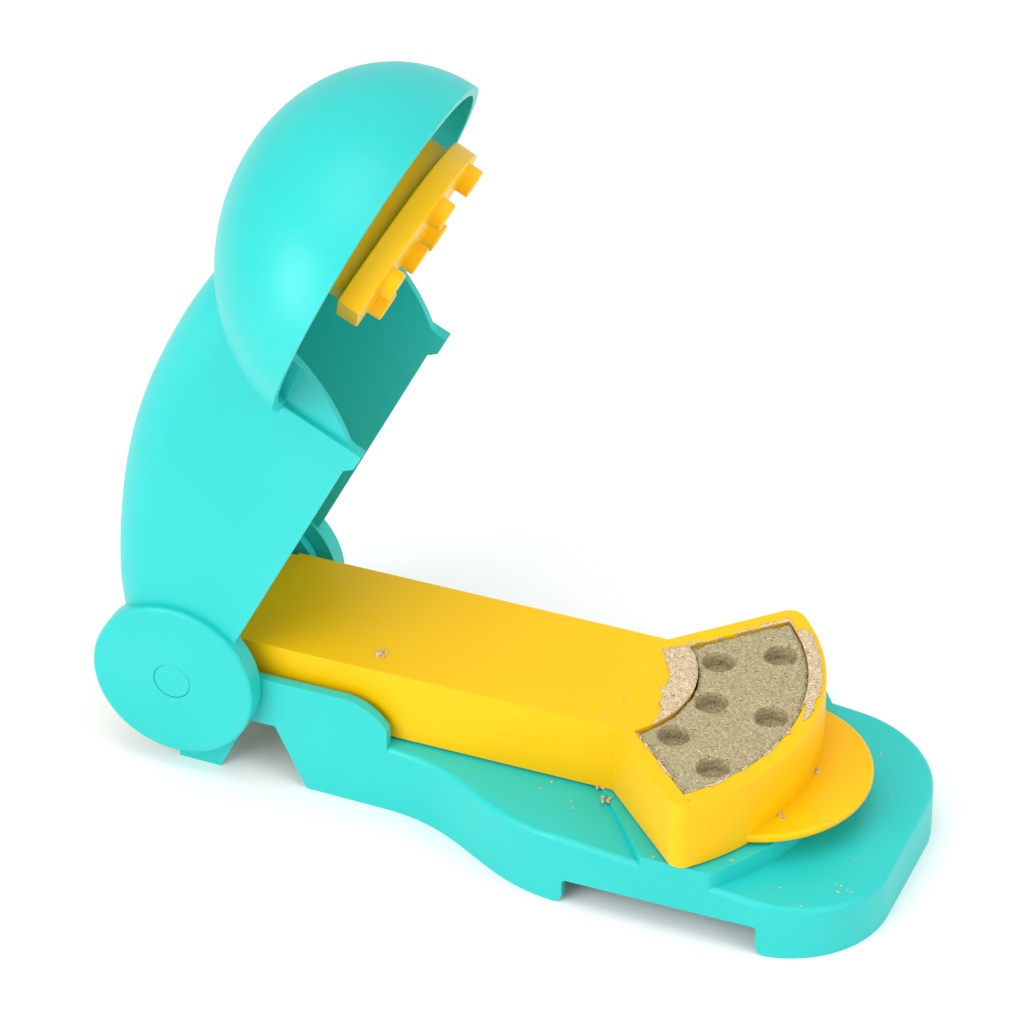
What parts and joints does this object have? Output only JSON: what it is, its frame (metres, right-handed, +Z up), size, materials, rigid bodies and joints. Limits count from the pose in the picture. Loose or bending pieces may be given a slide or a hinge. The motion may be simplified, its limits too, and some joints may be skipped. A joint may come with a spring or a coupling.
{
  "type": "play sand moulding press",
  "caption": "Hinged hand press that moulds play sand into a holed cheese wedge: flat base, mould arm on top of it, and a domed lid that carries the stamp.",
  "frame": {"origin": "on the ground under the middle of the overall length, on the plane of symmetry of base and lid", "axes": "+X from the hinge to the front edge of the base, +Y across the width, +Z up from the ground"},
  "size_m": [0.1856, 0.0946, 0.1724],
  "materials": {
    "teal_plastic": "satin injection moulding",
    "yellow_plastic": "satin injection moulding",
    "play_sand": "pressed fine sand"
  },
  "bodies": {
    "base": {"base_tray": "teal_plastic", "hinge_barrel": "teal_plastic", "hinge_pin_left": "teal_plastic", "hinge_pin_right": "teal_plastic", "sand_cake": "play_sand"},
    "arm": {"mould_arm": "yellow_plastic"},
    "lid": {"lid_shell": "teal_plastic", "press_stamp": "yellow_plastic"}
  },
  "joints": [
    {"name": "arm_lift", "type": "hinge", "parent": "base", "child": "arm", "pos_m": [-0.07328, 0, 0.02509], "axis": [0, -1, 0], "range_deg": [0, 88]},
    {"name": "lid_swing", "type": "hinge", "parent": "arm", "child": "lid", "pos_m": [-0.07328, 0, 0.02509], "axis": [0, -1, 0], "range_deg": [-62.3, 5]}
  ]
}
